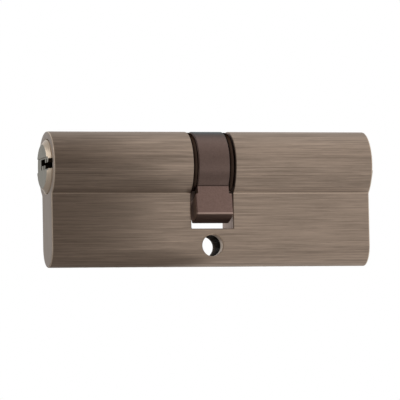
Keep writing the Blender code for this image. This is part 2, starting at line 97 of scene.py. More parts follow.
# Plugs
NOSE_RIM_HEIGHT = 0.12 * MM
NOSE_FACE_RADIUS = PLUG_RADIUS - 1.2 * MM
TAIL_RADIUS = PLUG_RADIUS - 0.5 * MM
NECK_RADIUS = TAIL_RADIUS - 0.7 * MM
TURNED_EDGE = 0.12 * MM
CLIP_EDGE = 0.08 * MM

# Keyway, in the plug's cross-section, as (Y, Z); it opens to +Y of the side frame
KEYWAY_CENTRE_Z = 0.4 * MM
KEYWAY_TOP = 1.65 * MM
KEYWAY_BOTTOM = -0.85 * MM
KEYWAY_CLOSED_Y = -1.9 * MM
LOWER_WARD_END_Y = 2.3 * MM
UPPER_WARD_END_Y = 5.5 * MM
WARD_REACH = 0.95 * MM
WARD_SLIT = 0.7 * MM
LOWER_SLITS_Y = (-1.9 * MM, 0.6 * MM)
UPPER_SLIT_Y = 3.4 * MM
LEAD_GROOVE_WIDTH = 3.3 * MM
LEAD_GROOVE_DEPTH = 0.3 * MM
KEYWAY_MARGIN = 0.3 * MM  # faces this far inside the plug's surface are the keyway's

# Cam
RING_RADIUS = HEAD_RADIUS
RING_HALF = 4.0 * MM
RING_EDGE = 0.25 * MM
RING_SOFTNESS = 0.06 * MM
TAIL_ROOM_RADIUS = TAIL_RADIUS + 0.15 * MM
CLIP_ROOM_RADIUS = CLIP_RADIUS + 1.7 * MM
CAM_REST_ANGLE = math.radians(24)
LEVER_RADIUS = 14.55 * MM
LEVER_ROOT = RING_RADIUS - 1.5 * MM
LEVER_ROOT_HALF = 4.1 * MM
LEVER_TIP_HALF = 2.6 * MM
LEVER_BEVEL = 0.35 * MM
ROOT_GROOVE = 0.1 * MM  # half the width of the line where the lever leaves the ring
WEB_HALF = 1.5 * MM

# Clutch
CLUTCH_HALF_WIDTH = 1.5 * MM
CLUTCH_HALF_HEIGHT = 4.5 * MM
CLUTCH_BLOCK = 4.6 * MM
CLUTCH_STEM_RADIUS = 1.4 * MM
CLUTCH_SLOT_END = 6.55 * MM
CLUTCH_BORE_END = 10.15 * MM
SLIDE_GAP = 0.1 * MM

# Pins
PIN_RADIUS = 1.4 * MM
STOPPER_RADIUS = CHAMBER_RADIUS - 0.02 * MM
MILLED_BELOW = 0.01 * MM  # chamber plugs end this far under the foot's surface
TIP_RADIUS = 0.85 * MM
TIP_LENGTH = 3.65 * MM
PIN_CHAMFER = 0.28 * MM
WAIST_RADIUS = 1.05 * MM
WIRE_RADIUS = 0.17 * MM
SPRING_TURNS = 4
SPRING_END_RISE = 0.44 * MM

OVERCUT = 1.0 * MM
HEAD_STEPS = 160
FOOT_STEPS = 64
PLUG_STEPS = 128
HOLE_STEPS = 72
PIN_STEPS = 32
SPRING_STEPS = 24  # in one turn
WIRE_STEPS = 10
CLIP_STEPS = 96
SMOOTH_ANGLE = math.radians(28)
SHARP_ANGLE = math.radians(60)  # edges sharper than this are rounded
NEARLY_STRAIGHT = math.radians(160)
LONGEST_REACH = 0.45  # share of a side that a rounded corner may take
MERGE_DISTANCE = 0.0005 * MM

AXIS = Matrix.Translation((0, 0, AXIS_Z))
SIDE = {"left": AXIS @ Matrix.Rotation(math.pi, 4, "Z"), "right": AXIS}
ALONG_X = Matrix.Rotation(math.pi / 2, 4, "Y")  # turns a shape's own Z to X
ALONG_Y = Matrix.Rotation(-math.pi / 2, 4, "X")  # turns a shape's own Z to Y
SECTION = Matrix(((0, 0, 1, 0), (1, 0, 0, 0), (0, 1, 0, 0), (0, 0, 0, 1)))  # an XY outline to YZ


# Mesh tools


def new_object(name, bm, place=None):
    """Links a bmesh as an object at the origin, with its place in its mesh."""
    bmesh.ops.recalc_face_normals(bm, faces=bm.faces)
    mesh = bpy.data.meshes.new(name)
    bm.to_mesh(mesh)
    bm.free()
    if place is not None:
        mesh.transform(place)
    obj = bpy.data.objects.new(name, mesh)
    bpy.context.scene.collection.objects.link(obj)
    return obj


def arc(radius, start, end, steps, centre=(0, 0)):
    """Points along an arc, both ends included."""
    angles = [start + (end - start) * i / steps for i in range(steps + 1)]
    return [(centre[0] + radius * math.cos(a), centre[1] + radius * math.sin(a)) for a in angles]


def softened(points, radius, steps=3):
    """The same line of points with its corners rounded; nearly straight ones stay as they are."""
    result = [points[0]]
    for before, point, after in zip(points, points[1:], points[2:]):
        here = Vector(point)
        back = Vector(before) - here
        ahead = Vector(after) - here
        if back.angle(ahead) > NEARLY_STRAIGHT:
            result.append(point)
            continue
        reach = min(radius, back.length * LONGEST_REACH, ahead.length * LONGEST_REACH)
        first = here + back.normalized() * reach
        last = here + ahead.normalized() * reach
        for step in range(steps + 1):
            t = step / steps
            curve = first * (1 - t) ** 2 + here * 2 * t * (1 - t) + last * t**2
            result.append(tuple(curve))
    result.append(points[-1])
    return result


def lathe(name, profile, steps, place):
    """A solid turned about its own Z, from (radius, height) points that start and end on it."""
    bm = bmesh.new()
    turns = [2 * math.pi * i / steps for i in range(steps)]
    rings = []
    for radius, height in profile:
        angles = turns if radius > 0 else [0]
        corners = [(radius * math.cos(a), radius * math.sin(a), height) for a in angles]
        rings.append([bm.verts.new(corner) for corner in corners])
    for upper, lower in zip(rings, rings[1:]):
        for i in range(steps):
            j = (i + 1) % steps
            corners = (upper[i % len(upper)], lower[i % len(lower)])
            corners += (lower[j % len(lower)], upper[j % len(upper)])
            bm.faces.new(dict.fromkeys(corners))
    return new_object(name, bm, place)


def prism(name, outline, depth, place):
    """A closed XY outline made depth thick about Z = 0."""
    bm = bmesh.new()
    low = [bm.verts.new((x, y, -depth / 2)) for x, y in outline]
    high = [bm.verts.new((x, y, depth / 2)) for x, y in outline]
    bm.faces.new(low)
    bm.faces.new(high)
    for i in range(len(outline)):
        bm.faces.new((low[i - 1], low[i], high[i], high[i - 1]))
    return new_object(name, bm, place)


def block(name, low, high, place):
    """A box between two corners."""
    bm = bmesh.new()
    bmesh.ops.create_cube(bm, size=1.0)
    for vertex in bm.verts:
        vertex.co = [a + (b - a) * (c + 0.5) for a, b, c in zip(low, high, vertex.co)]
    return new_object(name, bm, place)


def freeze(obj):
    """Makes what an object's modifiers show its own mesh."""
    graph = bpy.context.evaluated_depsgraph_get()
    mesh = bpy.data.meshes.new_from_object(obj.evaluated_get(graph))
    obj.modifiers.clear()
    obj.data = mesh


def combine(target, other, operation="DIFFERENCE"):
    """Cuts the other shape from the target, or joins or intersects the two, and removes it."""
    modifier = target.modifiers.new("combine", "BOOLEAN")
    modifier.operation = operation
    modifier.object = other
    modifier.solver = "EXACT"
    freeze(target)
    bpy.data.objects.remove(other, do_unlink=True)


def round_edges(obj, width, segments=2):
    """Rounds the sharp edges."""
    modifier = obj.modifiers.new("round", "BEVEL")
    modifier.width = width
    modifier.segments = segments
    modifier.limit_method = "ANGLE"
    modifier.angle_limit = SHARP_ANGLE
    freeze(obj)


def finish_mesh(obj):
    """Removes slivers, and shades the round surfaces smooth and the flat ones flat."""
    bm = bmesh.new()
    bm.from_mesh(obj.data)
    bmesh.ops.remove_doubles(bm, verts=bm.verts, dist=MERGE_DISTANCE)
    bmesh.ops.dissolve_degenerate(bm, edges=bm.edges, dist=MERGE_DISTANCE)
    bmesh.ops.triangulate(bm, faces=[face for face in bm.faces if len(face.verts) > 4])
    # Two faces on the same corners are a sliver folded flat.
    twins = {}
    for face in bm.faces:
        twins.setdefault(frozenset(face.verts), []).append(face)
    folded = [face for faces in twins.values() if len(faces) > 1 for face in faces]
    bmesh.ops.delete(bm, geom=folded, context="FACES")
    bm.to_mesh(obj.data)
    bm.free()
    obj.data.shade_smooth()
    obj.data.set_sharp_from_angle(angle=SMOOTH_ANGLE)
    modifier = obj.modifiers.new("normals", "WEIGHTED_NORMAL")
    modifier.keep_sharp = True
    modifier.weight = 50
    freeze(obj)


def place_piece(obj, body, node):
    """Puts a finished piece in its node's place."""
    finish_mesh(obj)
    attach(obj, body)
    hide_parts(node)


# Materials


def linear(*srgb):
    """A colour from its 0 to 255 sRGB values."""
    shares = [value / 255 for value in srgb]
    return tuple(s / 12.92 if s <= 0.04045 else ((s + 0.055) / 1.055) ** 2.4 for s in shares)


def streaks(tree, coordinates, along, across, axis):
    """Noise drawn out along one axis; along and across are its cycles per metre."""
    scale = [across] * 3
    scale[axis] = along
    mapping = tree.nodes.new("ShaderNodeMapping")
    mapping.inputs["Scale"].default_value = scale
    noise = tree.nodes.new("ShaderNodeTexNoise")
    noise.inputs["Scale"].default_value = 1.0
    noise.inputs["Detail"].default_value = 4.0
    noise.inputs["Roughness"].default_value = 0.72
    tree.links.new(coordinates, mapping.inputs["Vector"])
    tree.links.new(mapping.outputs["Vector"], noise.inputs["Vector"])
    return noise.outputs["Fac"]


def mapped(tree, value, low, high, to_low=0.0, to_high=1.0):
    """The value moved from one range to another, and kept within it."""
    node = tree.nodes.new("ShaderNodeMapRange")
    limits = ("From Min", low), ("From Max", high), ("To Min", to_low), ("To Max", to_high)
    for name, number in limits:
        node.inputs[name].default_value = number
    tree.links.new(value, node.inputs["Value"])
    return node.outputs["Result"]


def calculated(tree, operation, first, second):
    """A Math node of two values, either of which may be a plain number."""
    node = tree.nodes.new("ShaderNodeMath")
    node.operation = operation
    for value, entry in zip((first, second), node.inputs):
        if isinstance(value, (int, float)):
            entry.default_value = value
        else:
            tree.links.new(value, entry)
    return node.outputs[0]


def weighted(tree, parts):
    """The sum of (value, weight) pairs."""
    total = None
    for value, weight in parts:
        part = calculated(tree, "MULTIPLY", value, weight)
        total = part if total is None else calculated(tree, "ADD", total, part)
    return total


def blended(tree, factor, dark, light):
    """A colour between two, each a plain colour or another node's output."""
    node = tree.nodes.new("ShaderNodeMix")
    node.data_type = "RGBA"
    tree.links.new(factor, node.inputs["Factor"])
    for value, entry in zip((dark, light), (node.inputs[6], node.inputs[7])):
        if isinstance(value, tuple):
            entry.default_value = (*value, 1.0)
        else:
            tree.links.new(value, entry)
    return node.outputs[2]


# Cycles per metre of the metals' grain, along and across it
BRUSHED_ALONG = 65.0
SATIN_ALONG = 2500.0
FINE_ACROSS = 2600.0
BROAD_ACROSS = 1400.0
CLOUDS_ALONG = 50.0
CLOUDS_ACROSS = 220.0
ROUGHNESS_SPREAD = 0.2  # share of the roughness that the grain adds or takes


def metal(
    name, colour, roughness, grain=None, contrast=0.2, anisotropic=0.0, scratches=0.0, rim=None
):
    """Metal with a drawn-out grain along one axis, or an even satin grain when grain is None.

    contrast and scratches are shares of the colour that the grain and single scratches change;
    rim tints the reflection at a glancing angle.
    """
    material = bpy.data.materials.new(name)
    material.use_nodes = True
    tree = material.node_tree
    shader = tree.nodes["Principled BSDF"]
    shader.inputs["Metallic"].default_value = 1.0
    shader.inputs["Anisotropic"].default_value = anisotropic
    if rim is not None:
        shader.inputs["Specular Tint"].default_value = (*rim, 1.0)
    coordinates = tree.nodes.new("ShaderNodeTexCoord").outputs["Object"]
    axis = 0 if grain is None else grain
    along = SATIN_ALONG if grain is None else BRUSHED_ALONG
    fine = mapped(tree, streaks(tree, coordinates, along, FINE_ACROSS, axis), 0.34, 0.66)
    broad = mapped(tree, streaks(tree, coordinates, along / 2.5, BROAD_ACROSS, axis), 0.3, 0.7)
    clouds = mapped(tree, streaks(tree, coordinates, CLOUDS_ALONG, CLOUDS_ACROSS, axis), 0.3, 0.7)
    lines = weighted(tree, ((fine, 0.6), (broad, 0.25), (clouds, 0.15)))
    dark = tuple(channel * (1 - contrast) for channel in colour)
    light = tuple(min(1.0, channel * (1 + contrast)) for channel in colour)
    shade = blended(tree, lines, dark, light)
    if scratches:
        marks = streaks(tree, coordinates, along * 1.3, FINE_ACROSS, axis)
        bright = tuple(min(1.0, channel * (1 + scratches)) for channel in colour)
        deep = tuple(channel * (1 - scratches * 0.6) for channel in colour)
        shade = blended(tree, mapped(tree, marks, 0.6, 0.72), shade, bright)
        shade = blended(tree, mapped(tree, marks, 0.4, 0.3), shade, deep)
    tree.links.new(shade, shader.inputs["Base Color"])
    spread = ROUGHNESS_SPREAD * roughness
    rough = mapped(tree, lines, 0.0, 1.0, roughness + spread, roughness - spread)
    tree.links.new(rough, shader.inputs["Roughness"])
    if anisotropic:
        tangent = tree.nodes.new("ShaderNodeTangent")
        tangent.direction_type = "RADIAL"
        tangent.axis = "X"
        tree.links.new(tangent.outputs["Tangent"], shader.inputs["Tangent"])
    return material


BODY = metal("brushed_bronze_nickel", linear(139, 124, 111), 0.33, 0, 0.34, 0.95, scratches=0.5)
# The crease facet, lighter and smoother than the body: a painted highlight.
CREASE_HIGHLIGHT = metal("crease_painted_highlight", linear(166, 149, 134), 0.3, 0, 0.08, 0.95)
# The housing's rounded end edges, light beige: a painted highlight.
EDGE_HIGHLIGHT = metal("edge_painted_highlight", linear(192, 177, 160), 0.4, None, 0.1)
BODY_END = metal("brushed_end_face", linear(129, 117, 107), 0.42, 2, 0.12)
# The cam gap's milled walls, coloured lighter than the body as painted light.
GAP_WALL_LIT = metal("milled_gap_wall_painted_light", linear(165, 146, 136), 0.5, 2, 0.15)
# Near-black for the plug bores, pin chambers and deep screw hole: painted shade.
BORE_SHADE = metal("bore_painted_shade", linear(44, 35, 28), 0.42, None, 0.15)
PLUG = metal("satin_nickel", linear(133, 131, 123), 0.55, 2, 0.08)
# The plug's turned outside and nose rim, lighter than its face: a turned finish with a painted
# highlight.
PLUG_HIGHLIGHT = metal("turned_nickel_painted_highlight", linear(180, 166, 149), 0.34, None, 0.06)
# Dark brown for the keyway's deep walls: painted shade.
KEYWAY_SHADE = metal("keyway_painted_shade", linear(58, 50, 42), 0.5, 0, 0.2)
CAM = metal("browned_steel", linear(102, 86, 80), 0.4, None, 0.1, rim=(0.5, 0.64, 0.68))
# The lever's faces, lighter than the ring: painted light.
CAM_LEVER_LIT = metal("lever_painted_light", linear(122, 101, 94), 0.38, None, 0.16)
# The cam's flat sides, much lighter than the ring: painted light.
CAM_SIDE_LIT = metal("cam_side_painted_light", linear(170, 145, 132), 0.5, 2, 0.12)
# The lever's down-facing tip, darker than the lever: painted shade.
CAM_TIP_SHADE = metal("lever_tip_painted_shade", linear(92, 75, 68), 0.45, 0, 0.12)
# The lever's bevelled edges near its tip, lighter: a painted highlight.
CAM_EDGE_HIGHLIGHT = metal("lever_edge_painted_highlight", linear(165, 143, 133), 0.35, 0, 0.15)
# Light beige for the screw hole's wall near its mouth on the lever's side: a painted reflection.
HOLE_MOUTH_REFLECTION = metal("hole_mouth_painted_reflection", linear(186, 166, 147), 0.38, None, 0.12)
CLIP = metal("spring_steel_brown", linear(54, 43, 36), 0.4, None, 0.1, rim=(0.3, 0.28, 0.26))
STEEL = metal("ground_steel", linear(165, 165, 166), 0.3, 0, 0.08)
BRASS = metal("turned_brass", linear(190, 160, 105), 0.3, 0, 0.08)
SPRING = metal("bright_spring_wire", linear(150, 150, 152), 0.28, None, 0.05)


def paint(obj, materials, choose):
    """Gives each face the one of the materials that choose(centre, normal) returns."""
    obj.data.materials.clear()
    for material in materials:
        obj.data.materials.append(material)
    for polygon in obj.data.polygons:
        polygon.material_index = materials.index(choose(polygon.center, polygon.normal))


# Housing


def housing_outline():
    """The profile in (Y, Z): a round head on a foot with a half-round bottom."""
    start = -math.acos((FOOT_HALF + CREASE_WIDTH / 2) / HEAD_RADIUS)
    head = arc(HEAD_RADIUS, start, math.pi - start, HEAD_STEPS)
    foot = arc(FOOT_HALF, math.pi, 2 * math.pi, FOOT_STEPS, (0, FOOT_HALF - FOOT_DEPTH))
    below = head[0][1] - CREASE_WIDTH
    return [*head, (-FOOT_HALF, below), *foot, (FOOT_HALF, below)]


def stack_positions(side):
    """Side-frame X of each pin stack."""
    positions = []
    for number in STACKS:
        low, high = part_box(f"chamber_plug_{side}_{number}")
        positions.append(abs(low.x + high.x) / 2)
    return positions


def make_housing():
    """The profile with its cam gap, threaded screw hole, plug bores and pin chambers."""
    length = LENGTH["left"] + LENGTH["right"]
    middle = (LENGTH["right"] - LENGTH["left"]) / 2
    place = AXIS @ Matrix.Translation((middle, 0, 0)) @ SECTION
    housing = prism("housing_fine", housing_outline(), length, place)
    low = (-CAM_GAP / 2, -HEAD_RADIUS - OVERCUT, -BRIDGE_DEPTH)
    high = (CAM_GAP / 2, HEAD_RADIUS + OVERCUT, HEAD_RADIUS + OVERCUT)
    combine(housing, block("cam_gap", low, high, AXIS))
    round_edges(housing, EDGE_ROUND, 3)

    combine(housing, thread("screw_thread"))
    mouth = SCREW_HOLE_RADIUS + SCREW_CHAMFER
    for turn in (0, math.pi):
        profile = [
            (0, FOOT_HALF + OVERCUT),
            (mouth + OVERCUT, FOOT_HALF + OVERCUT),
            (SCREW_HOLE_RADIUS, FOOT_HALF - SCREW_CHAMFER),
            (0, FOOT_HALF - SCREW_CHAMFER),
        ]
        place = Matrix.Rotation(turn, 4, "X") @ ALONG_Y
        combine(housing, lathe("screw_mouth", profile, HOLE_STEPS, place))
    for side in SIDES:
        bore_housing(housing, side)
    materials = (BODY, BODY_END, GAP_WALL_LIT, BORE_SHADE, CREASE_HIGHLIGHT, HOLE_MOUTH_REFLECTION, EDGE_HIGHLIGHT)
    paint(housing, materials, housing_face)
    place_piece(housing, "housing", "housing")


def thread(name):
    """A cutter for the fixing screw's thread: a rod along Y with one helical ridge."""
    half = FOOT_HALF + OVERCUT
    rows = math.ceil(2 * half / THREAD_PITCH * THREAD_ROWS)
    bm = bmesh.new()
    rings = []
    for row in range(rows + 1):
        height = -half + 2 * half * row / rows
        ring = []
        for step in range(HOLE_STEPS):
            share = (height / THREAD_PITCH - step / HOLE_STEPS) % 1
            ridge = max(0, 1 - abs(2 * share - 1) * THREAD_STEEPNESS)
            run_in = (FOOT_HALF - THREAD_START + height) / THREAD_PITCH
            run_out = (FOOT_HALF - THREAD_END - height) / THREAD_PITCH
            full = min(max(min(run_in, run_out), 0), 1)
            radius = SCREW_HOLE_RADIUS + THREAD_DEPTH * ridge * full
            angle = 2 * math.pi * step / HOLE_STEPS
            ring.append(bm.verts.new((radius * math.cos(angle), radius * math.sin(angle), height)))
        rings.append(ring)
    for lower, upper in zip(rings, rings[1:]):
        for i in range(HOLE_STEPS):
            bm.faces.new((lower[i - 1], lower[i], upper[i], upper[i - 1]))
    bm.faces.new(rings[0])
    bm.faces.new(rings[-1])
    return new_object(name, bm, ALONG_Y)


def bore_housing(housing, side):
    """Opens one end's plug bore and pin chambers."""
    end = LENGTH[side]
    mouth = BORE_RADIUS + BORE_CHAMFER
    profile = [
        (0, end + OVERCUT),
        (mouth + OVERCUT, end + OVERCUT),
        (mouth, end),
        (BORE_RADIUS, end - BORE_CHAMFER),
        (BORE_RADIUS, CAM_GAP / 2 - OVERCUT),
        (0, CAM_GAP / 2 - OVERCUT),
    ]
    combine(housing, lathe("bore", profile, PLUG_STEPS, SIDE[side] @ ALONG_X))
    profile = [
        (0, OVERCUT - PLUG_RADIUS),
        (CHAMBER_RADIUS, OVERCUT - PLUG_RADIUS),
        (CHAMBER_RADIUS, -FOOT_DEPTH - OVERCUT),
        (0, -FOOT_DEPTH - OVERCUT),
    ]
    # Half a facet's turn keeps the chamber's corners off the foot's own lowest edge.
    turn = Matrix.Rotation(math.pi / PIN_STEPS, 4, "Z")
    for x in stack_positions(side):
        place = SIDE[side] @ Matrix.Translation((x, 0, 0)) @ turn
        combine(housing, lathe("chamber", profile, PIN_STEPS, place))


def housing_face(centre, normal):
    """The material of the brushed outside or an end; edges and crease get painted highlights, the gap
    painted light, bores and the deep screw hole painted shade.
    """
    from_axis = math.hypot(centre.y, centre.z - AXIS_Z)
    at_end = abs(centre.x) > min(LENGTH.values()) - EDGE_ROUND
    # End faces, and their rounded edges in a painted highlight.
    if at_end and abs(normal.x) > 0.1:
        return BODY_END if abs(normal.x) > 0.95 else EDGE_HIGHLIGHT
    # The walls of the cam gap take the painted light.
    in_gap = abs(centre.x) < CAM_GAP / 2 + EDGE_ROUND / 4
    if in_gap and centre.z > AXIS_Z - BRIDGE_DEPTH - EDGE_ROUND / 4:
        return GAP_WALL_LIT
    # Bores and pin chambers are painted dark as shade.
    if from_axis < BORE_RADIUS * 1.01:
        return BORE_SHADE
    in_screw_hole = math.hypot(centre.x, centre.z) < (SCREW_HOLE_RADIUS + THREAD_DEPTH) * 1.02
    in_chamber = abs(centre.y) < CHAMBER_RADIUS and abs(normal.z) < 0.1
    if in_screw_hole and abs(normal.y) < 0.8:
        # The screw hole is painted light near its mouth as a reflection, and dark deeper in as shade.
        return HOLE_MOUTH_REFLECTION if centre.y < THREAD_START - FOOT_HALF else BORE_SHADE
    if in_chamber:
        return BORE_SHADE
    # A narrow band at the crease gets the painted highlight.
    crease_z = AXIS_Z - math.sqrt(HEAD_RADIUS**2 - FOOT_HALF**2)
    return CREASE_HIGHLIGHT if abs(centre.z - crease_z) < CREASE_WIDTH else BODY


# Plugs, clips and clutches


def keyway_outline():
    """The keyway in (Y, Z): a flat slot, open at the plug's side, with slit wards above and below."""
    open_y = PLUG_RADIUS + OVERCUT
    lower = KEYWAY_BOTTOM + WARD_REACH
    upper = KEYWAY_TOP - WARD_REACH
    first_slit, second_slit = LOWER_SLITS_Y
    return [
        (first_slit, KEYWAY_BOTTOM),
        (first_slit + WARD_SLIT, KEYWAY_BOTTOM),
        (first_slit + WARD_SLIT, lower),
        (second_slit, lower),
        (second_slit, KEYWAY_BOTTOM),
        (second_slit + WARD_SLIT, KEYWAY_BOTTOM),
        (second_slit + WARD_SLIT, lower),
        (LOWER_WARD_END_Y, lower),
        (LOWER_WARD_END_Y, KEYWAY_BOTTOM),
        (open_y, KEYWAY_BOTTOM),
        (open_y, KEYWAY_TOP),
        (UPPER_WARD_END_Y, KEYWAY_TOP),
        (UPPER_WARD_END_Y, upper),
        (UPPER_SLIT_Y + WARD_SLIT, upper),
        (UPPER_SLIT_Y + WARD_SLIT, KEYWAY_TOP),
        (UPPER_SLIT_Y, KEYWAY_TOP),
        (UPPER_SLIT_Y, upper),
        (LOWER_WARD_END_Y, upper),
        (LOWER_WARD_END_Y, KEYWAY_TOP),
        (KEYWAY_CLOSED_Y, KEYWAY_TOP),
    ]


def clip_reach(side):
    """Side-frame X of the retaining clip's inner and outer faces."""
    low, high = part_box(f"retaining_clip_{side}")
    return sorted((abs(low.x), abs(high.x)))


def make_plug(side):
    """A turned plug with its keyway, clutch slot and pin bores."""
    place = SIDE[side] @ ALONG_X
    rim = LENGTH[side] + NOSE_RIM_HEIGHT
    face = LENGTH[side] + NOSE_HEIGHT
    profile = [
        (0, face),
        (NOSE_FACE_RADIUS, face),
        (PLUG_RADIUS, rim),
        (PLUG_RADIUS, CAM_GAP / 2),
        (NECK_RADIUS, CAM_GAP / 2),
        (NECK_RADIUS, clip_reach(side)[0] - SLIDE_GAP),
        (TAIL_RADIUS, clip_reach(side)[0] - SLIDE_GAP),
        (TAIL_RADIUS, TAIL_END_X),
        (0, TAIL_END_X),
    ]
    plug = lathe(f"plug_{side}_fine", softened(profile, TURNED_EDGE), PLUG_STEPS, place)

    keyway_length = face + OVERCUT - CLUTCH_SLOT_END + SLIDE_GAP
    middle = face + OVERCUT - keyway_length / 2
    section = SIDE[side] @ Matrix.Translation((middle, 0, 0)) @ SECTION
    combine(plug, prism("keyway", keyway_outline(), keyway_length, section))
    half_groove = LEAD_GROOVE_WIDTH / 2
    low = (face - LEAD_GROOVE_DEPTH, -HEAD_RADIUS, KEYWAY_CENTRE_Z - half_groove)
    high = (face + OVERCUT, HEAD_RADIUS, KEYWAY_CENTRE_Z + half_groove)
    combine(plug, block("lead_groove", low, high, SIDE[side]))
    half_width = CLUTCH_HALF_WIDTH + SLIDE_GAP
    half_height = CLUTCH_HALF_HEIGHT + SLIDE_GAP
    low = (TAIL_END_X - OVERCUT, -half_width, -half_height)
    high = (CLUTCH_SLOT_END, half_width, half_height)
    combine(plug, block("clutch_slot", low, high, SIDE[side]))
    stem_radius = CLUTCH_STEM_RADIUS + SLIDE_GAP
    profile = [
        (0, CLUTCH_BORE_END),
        (stem_radius, CLUTCH_BORE_END),
        (stem_radius, CLUTCH_SLOT_END - OVERCUT),
        (0, CLUTCH_SLOT_END - OVERCUT),
    ]
    combine(plug, lathe("stem_bore", profile, PIN_STEPS, place))
    profile = [
        (0, KEYWAY_CENTRE_Z),
        (TIP_BORE_RADIUS, KEYWAY_CENTRE_Z),
        (TIP_BORE_RADIUS, -CHAMBER_STEP_DEPTH),
        (CHAMBER_RADIUS, -CHAMBER_STEP_DEPTH),
        (CHAMBER_RADIUS, -PLUG_RADIUS - OVERCUT),
        (0, -PLUG_RADIUS - OVERCUT),
    ]
    for x in stack_positions(side):
        bore = lathe("pin_bore", profile, PIN_STEPS, SIDE[side] @ Matrix.Translation((x, 0, 0)))
        combine(plug, bore)

    def plug_face(centre, normal):
        """The material of the end face, of the keyway's walls in painted shade, or of the turned
        outside in a painted highlight.
        """
        from_axis = math.hypot(centre.y, centre.z - AXIS_Z)
        outward = abs(normal.x) > 0.9
        if outward and abs(centre.x) > LENGTH[side]:
            return PLUG
        deep = from_axis < PLUG_RADIUS - KEYWAY_MARGIN and abs(normal.x) < 0.3
        in_front = CAM_GAP / 2 < abs(centre.x) < face - LEAD_GROOVE_DEPTH / 2
        return KEYWAY_SHADE if deep and in_front else PLUG_HIGHLIGHT

    paint(plug, (PLUG, PLUG_HIGHLIGHT, KEYWAY_SHADE), plug_face)
    place_piece(plug, f"plug_{side}", f"plug_{side}")


def make_clip(side):
    """A C-shaped clip round the plug's neck, open at the bottom."""
    start = (math.radians(80) - math.pi) / 2
    end = math.pi - start
    inner = arc(NECK_RADIUS + SLIDE_GAP, start, end, CLIP_STEPS)
    outer = arc(CLIP_RADIUS, end, start, CLIP_STEPS)
    low, high = clip_reach(side)
    place = SIDE[side] @ Matrix.Translation(((low + high) / 2, 0, 0)) @ SECTION
    clip = prism(f"retaining_clip_{side}_fine", inner + outer, high - low, place)
    round_edges(clip, CLIP_EDGE)
    clip.data.materials.append(CLIP)
    place_piece(clip, f"plug_{side}", f"retaining_clip_{side}")


def make_clutch(side):
    """A block that slides in the plug's end slot and the cam, with a stem for the key's tip."""
    low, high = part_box(f"clutch_{side}")
    inner_x = low.x if side == "right" else -high.x
    outer_x = high.x if side == "right" else -low.x
    corner = (inner_x, -CLUTCH_HALF_WIDTH, -CLUTCH_HALF_HEIGHT)
    opposite = (inner_x + CLUTCH_BLOCK, CLUTCH_HALF_WIDTH, CLUTCH_HALF_HEIGHT)
    clutch = block(f"clutch_{side}_fine", corner, opposite, SIDE[side])
    round_edges(clutch, TURNED_EDGE)
    profile = [
        (0, outer_x),
        (CLUTCH_STEM_RADIUS - PIN_CHAMFER, outer_x),
        (CLUTCH_STEM_RADIUS, outer_x - PIN_CHAMFER),
        (CLUTCH_STEM_RADIUS, inner_x + CLUTCH_BLOCK / 2),
        (0, inner_x + CLUTCH_BLOCK / 2),
    ]
    stem = lathe("stem", softened(profile, TURNED_EDGE), PIN_STEPS, SIDE[side] @ ALONG_X)
    combine(clutch, stem, "UNION")
    clutch.data.materials.append(STEEL)
    place_piece(clutch, f"clutch_{side}", f"clutch_{side}")


# Cam


def lever_outline():
    """The lever in its own plane: +X along it from the axis, its tip round the axis."""
    tip_angle = math.asin(LEVER_TIP_HALF / LEVER_RADIUS)
    tip = arc(LEVER_RADIUS, -tip_angle, tip_angle, 12)
    return [*tip, (LEVER_ROOT, LEVER_ROOT_HALF), (LEVER_ROOT, -LEVER_ROOT_HALF)]


def cut_rooms(target, hub, inner_x, radius):
    """Opens a round room at each end of the cam, from inner_x outwards."""
    for low, high in ((inner_x, CAM_GAP), (-CAM_GAP, -inner_x)):
        profile = [(0, high), (radius, high), (radius, low), (0, low)]
        combine(target, lathe("room", profile, PLUG_STEPS, hub @ ALONG_X))


def make_cam():
    """A ring that turns on both plugs' tails, with one lever and a slotted web in its middle."""
    hub = AXIS @ Matrix.Translation((CAM_CENTRE_X, 0, 0))
    profile = [
        (0, RING_HALF),
        (RING_RADIUS - RING_EDGE, RING_HALF),
        (RING_RADIUS, RING_HALF - RING_EDGE),
    ]
    profile += [(radius, -height) for radius, height in reversed(profile)]
    cam = lathe("cam_fine", softened(profile, RING_SOFTNESS), HEAD_STEPS, hub @ ALONG_X)

    # The lever's own X points down from the axis, then leans to -Y by the rest angle.
    lean = Matrix.Rotation(-CAM_REST_ANGLE, 4, "X")
    stand = Matrix(((0, 0, 1, 0), (0, 1, 0, 0), (-1, 0, 0, 0), (0, 0, 0, 1)))
    lever = prism("lever", lever_outline(), LEVER_WIDTH, hub @ lean @ stand)
    round_edges(lever, LEVER_BEVEL, 3)
    cut_rooms(lever, hub, RING_HALF - RING_EDGE / 2, CLIP_ROOM_RADIUS)
    combine(cam, lever, "UNION")
    root = math.sqrt(RING_RADIUS**2 - LEVER_ROOT_HALF**2)
    for way in (-1, 1):
        corner = (-CAM_GAP, way * LEVER_ROOT_HALF - ROOT_GROOVE, -root - ROOT_GROOVE)
        opposite = (CAM_GAP, way * LEVER_ROOT_HALF + ROOT_GROOVE, -root + ROOT_GROOVE)
        combine(cam, block("root_groove", corner, opposite, hub @ lean))
    cut_rooms(cam, hub, WEB_HALF, TAIL_ROOM_RADIUS)
    half_width = CLUTCH_HALF_WIDTH + SLIDE_GAP
    half_height = CLUTCH_HALF_HEIGHT + SLIDE_GAP
    low = (-WEB_HALF - OVERCUT, -half_width, -half_height)
    high = (WEB_HALF + OVERCUT, half_width, half_height)
    combine(cam, block("web_slot", low, high, hub))
    paint(cam, (CAM, CAM_SIDE_LIT, CAM_TIP_SHADE, CAM_EDGE_HIGHLIGHT, CAM_LEVER_LIT), cam_face)
    place_piece(cam, "cam", "cam")


